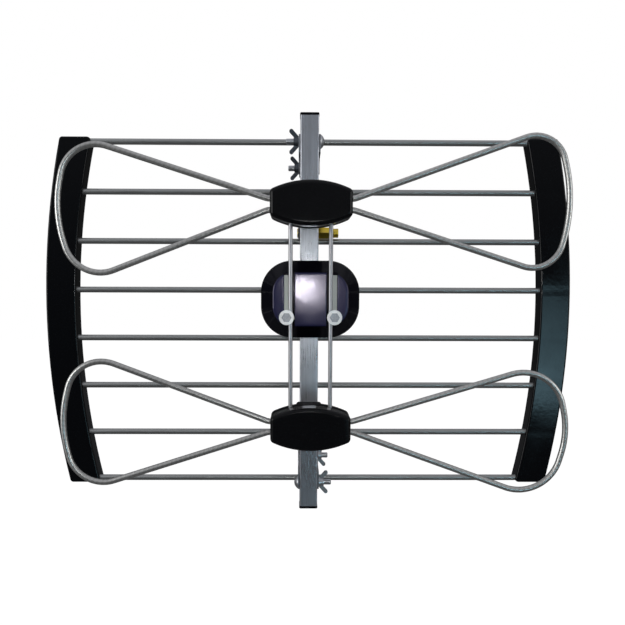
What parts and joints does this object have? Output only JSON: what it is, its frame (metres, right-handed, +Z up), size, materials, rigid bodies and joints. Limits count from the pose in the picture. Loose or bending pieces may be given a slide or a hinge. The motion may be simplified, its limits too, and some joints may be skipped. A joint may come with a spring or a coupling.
{
  "type": "bow tie television antenna",
  "caption": "Mast-mounted bow tie television antenna with a rod reflector, curved side rails, wire loops, insulator housings, a balun housing and wing-nut clamps.",
  "frame": {"origin": "on the axis of the mast, level with the middle of the reflector", "axes": "+X to the viewer's right, -Y forward from the mast to the bow tie wires, +Z up along the mast"},
  "size_m": [0.554, 0.1512, 0.413],
  "materials": {
    "brushed_aluminium": "brushed",
    "rod_aluminium": "satin",
    "wire_aluminium": "satin",
    "black_moulding": "gloss",
    "balun_gloss": "gloss",
    "zinc_steel": "zinc plated",
    "clamp_steel": "zinc plated",
    "bright_plate": "bright plated",
    "gold_plate": "gold plated",
    "brass": "machined",
    "board_laminate": "satin",
    "ferrite": "matte"
  },
  "bodies": {
    "root": {"balun_base": "black_moulding", "balun_board": "board_laminate", "balun_core": "ferrite", "balun_cover": "balun_gloss", "balun_cover_screws": "zinc_steel", "board_screws": "zinc_steel", "boom_cap_bottom": "black_moulding", "boom_cap_top": "black_moulding", "boom_tube": "brushed_aluminium", "bowtie_loop_lower_left": "wire_aluminium", "bowtie_loop_lower_right": "wire_aluminium", "bowtie_loop_upper_left": "wire_aluminium", "bowtie_loop_upper_right": "wire_aluminium", "clamp_bolt_lower_front": "zinc_steel", "clamp_bolt_lower_rear": "zinc_steel", "clamp_bolt_upper_front": "zinc_steel", "clamp_bolt_upper_rear": "zinc_steel", "clamp_jaw_lower_left": "clamp_steel", "clamp_jaw_lower_right": "clamp_steel", "clamp_jaw_upper_left": "clamp_steel", "clamp_jaw_upper_right": "clamp_steel", "connector_body": "gold_plate", "connector_nut": "zinc_steel", "element_clip_lower_left": "zinc_steel", "element_clip_lower_right": "zinc_steel", "element_clip_screws": "zinc_steel", "element_clip_upper_left": "zinc_steel", "element_clip_upper_right": "zinc_steel", "insulator_base_lower": "black_moulding", "insulator_base_upper": "black_moulding", "insulator_cover_lower": "black_moulding", "insulator_cover_upper": "black_moulding", "phasing_rod_left": "wire_aluminium", "phasing_rod_right": "wire_aluminium", "reflector_rod_1": "rod_aluminium", "reflector_rod_2": "rod_aluminium", "reflector_rod_3": "rod_aluminium", "reflector_rod_4": "rod_aluminium", "reflector_rod_5": "rod_aluminium", "reflector_rod_6": "rod_aluminium", "reflector_rod_7": "rod_aluminium", "reflector_rod_8": "rod_aluminium", "side_rail_left": "black_moulding", "side_rail_right": "black_moulding", "stem_screws": "zinc_steel", "terminal_post_left": "brass", "terminal_post_right": "brass", "terminal_screw_left": "zinc_steel", "terminal_screw_right": "zinc_steel", "terminal_strap_left": "bright_plate", "terminal_strap_right": "bright_plate", "terminal_washers": "bright_plate", "wing_nut_lower_front": "zinc_steel", "wing_nut_lower_rear": "zinc_steel", "wing_nut_upper_front": "zinc_steel", "wing_nut_upper_rear": "zinc_steel"}
  },
  "joints": []
}
